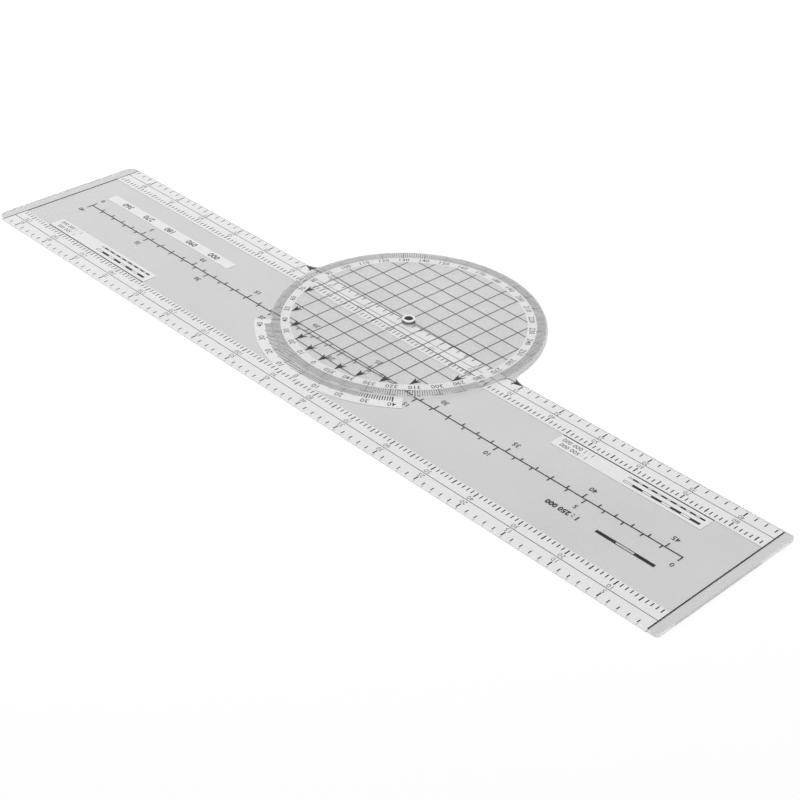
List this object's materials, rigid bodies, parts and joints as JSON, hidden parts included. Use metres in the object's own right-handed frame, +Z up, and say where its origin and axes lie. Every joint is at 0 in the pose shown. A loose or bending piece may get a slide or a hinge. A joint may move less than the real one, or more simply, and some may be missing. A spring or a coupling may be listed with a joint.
{
  "type": "flight plotter",
  "caption": "Clear chart straightedge with printed mile scales and a clear azimuth disc that turns on a hollow eyelet at its edge.",
  "frame": {"origin": "on the eyelet's axis at the underside of the sheet", "axes": "+X along the straightedge, +Y across it from the pivot edge to the upper edge, +Z up from the chart"},
  "size_m": [0.3302, 0.1139, 0.0028],
  "materials": {
    "clear_sheet": "clear, polished",
    "clear_disc": "clear, polished",
    "white_print": "matt white ink",
    "black_print": "matt black ink",
    "eyelet_metal": "bright plated"
  },
  "bodies": {
    "sheet": {"base_sheet": "clear_sheet", "pivot_eyelet": "eyelet_metal", "upper_scale_band": "white_print", "lower_scale_band": "white_print", "upper_legend_panel": "white_print", "lower_legend_panel": "white_print", "title_strip": "white_print", "variation_band": "white_print", "upper_scale_marks": "black_print", "lower_scale_marks": "black_print", "legend_rules": "black_print", "centre_scale_marks": "black_print", "end_lines": "black_print", "course_line": "black_print", "variation_marks": "black_print"},
    "disc": {"azimuth_disc": "clear_disc", "azimuth_band": "white_print", "azimuth_marks": "black_print", "course_grid": "black_print"}
  },
  "joints": [
    {"name": "azimuth_turn", "type": "hinge", "parent": "sheet", "child": "disc", "pos_m": [0, 0, 0], "axis": [0, 0, 1], "continuous": true}
  ]
}
